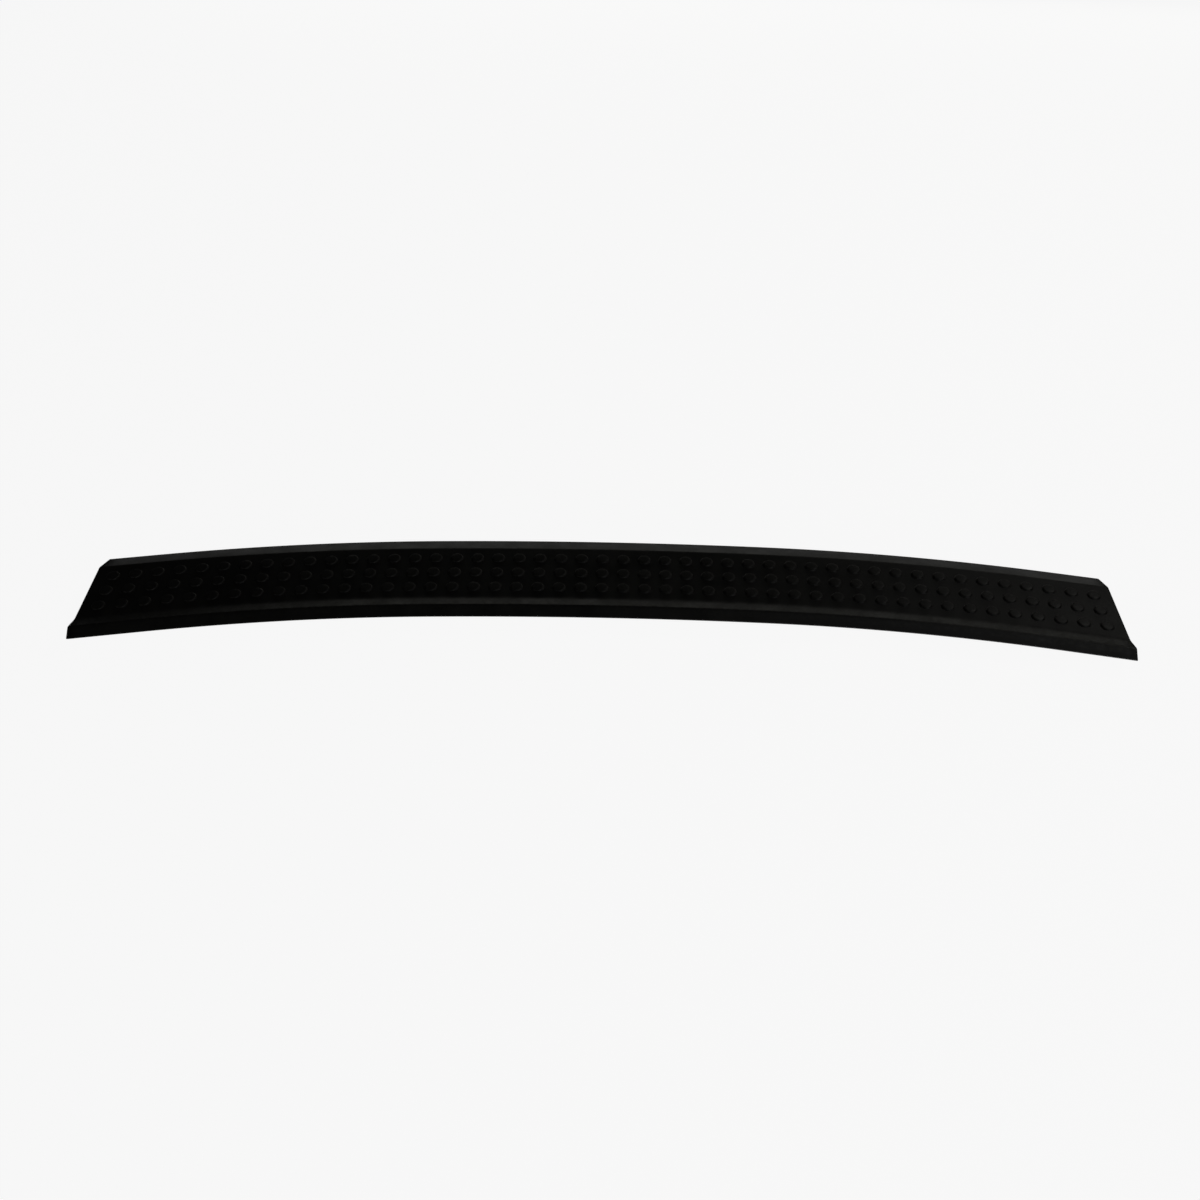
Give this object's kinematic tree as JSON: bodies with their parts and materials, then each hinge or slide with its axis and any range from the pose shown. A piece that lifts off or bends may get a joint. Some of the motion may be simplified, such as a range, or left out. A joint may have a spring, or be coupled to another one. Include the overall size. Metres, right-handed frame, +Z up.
{
  "type": "bumper step pad",
  "caption": "Long bowed black tread moulding with rows of round studs, a raised inner lip and a sloped outer band, held by sliding push-in retainers under it.",
  "frame": {"origin": "on the centre locating pin's axis, in the seat plane where the ribs' feet rest on the bumper cover", "axes": "+X along the pad, +Y towards the convex outer edge, +Z up, out of the tread"},
  "size_m": [1.5178, 0.2442, 0.0326],
  "materials": {
    "moulded_tpo": "fine moulded grain, satin",
    "foam": "closed-cell foam, matt",
    "nylon": "natural nylon, satin",
    "seal_rubber": "soft matt rubber"
  },
  "bodies": {
    "pad": {"pad_moulding": "moulded_tpo", "foam_lip_left": "foam", "foam_lip_right": "foam", "foam_band_left": "foam", "foam_band_right": "foam"},
    "retainer_inner_1": {"clip_inner_1": "nylon", "washer_inner_1": "seal_rubber"},
    "retainer_inner_2": {"clip_inner_2": "nylon", "washer_inner_2": "seal_rubber"},
    "retainer_inner_3": {"clip_inner_3": "nylon", "washer_inner_3": "seal_rubber"},
    "retainer_inner_4": {"clip_inner_4": "nylon", "washer_inner_4": "seal_rubber"},
    "retainer_inner_5": {"clip_inner_5": "nylon", "washer_inner_5": "seal_rubber"},
    "retainer_inner_6": {"clip_inner_6": "nylon", "washer_inner_6": "seal_rubber"},
    "retainer_outer_1": {"clip_outer_1": "nylon", "washer_outer_1": "seal_rubber"},
    "retainer_outer_2": {"clip_outer_2": "nylon", "washer_outer_2": "seal_rubber"},
    "retainer_outer_3": {"clip_outer_3": "nylon", "washer_outer_3": "seal_rubber"},
    "retainer_outer_4": {"clip_outer_4": "nylon", "washer_outer_4": "seal_rubber"},
    "retainer_outer_5": {"clip_outer_5": "nylon", "washer_outer_5": "seal_rubber"},
    "retainer_outer_6": {"clip_outer_6": "nylon", "washer_outer_6": "seal_rubber"}
  },
  "joints": [
    {"name": "float_inner_1", "type": "slide", "parent": "pad", "child": "retainer_inner_1", "axis": [1, 0, 0], "range_m": [-0.003, 0.003]},
    {"name": "float_inner_2", "type": "slide", "parent": "pad", "child": "retainer_inner_2", "axis": [1, 0, 0], "range_m": [-0.003, 0.003]},
    {"name": "float_inner_3", "type": "slide", "parent": "pad", "child": "retainer_inner_3", "axis": [1, 0, 0], "range_m": [-0.003, 0.003]},
    {"name": "float_inner_4", "type": "slide", "parent": "pad", "child": "retainer_inner_4", "axis": [1, 0, 0], "range_m": [-0.003, 0.003]},
    {"name": "float_inner_5", "type": "slide", "parent": "pad", "child": "retainer_inner_5", "axis": [1, 0, 0], "range_m": [-0.003, 0.003]},
    {"name": "float_inner_6", "type": "slide", "parent": "pad", "child": "retainer_inner_6", "axis": [1, 0, 0], "range_m": [-0.003, 0.003]},
    {"name": "float_outer_1", "type": "slide", "parent": "pad", "child": "retainer_outer_1", "axis": [1, 0, 0], "range_m": [-0.003, 0.003]},
    {"name": "float_outer_2", "type": "slide", "parent": "pad", "child": "retainer_outer_2", "axis": [1, 0, 0], "range_m": [-0.003, 0.003]},
    {"name": "float_outer_3", "type": "slide", "parent": "pad", "child": "retainer_outer_3", "axis": [1, 0, 0], "range_m": [-0.003, 0.003]},
    {"name": "float_outer_4", "type": "slide", "parent": "pad", "child": "retainer_outer_4", "axis": [1, 0, 0], "range_m": [-0.003, 0.003]},
    {"name": "float_outer_5", "type": "slide", "parent": "pad", "child": "retainer_outer_5", "axis": [1, 0, 0], "range_m": [-0.003, 0.003]},
    {"name": "float_outer_6", "type": "slide", "parent": "pad", "child": "retainer_outer_6", "axis": [1, 0, 0], "range_m": [-0.003, 0.003]}
  ]
}
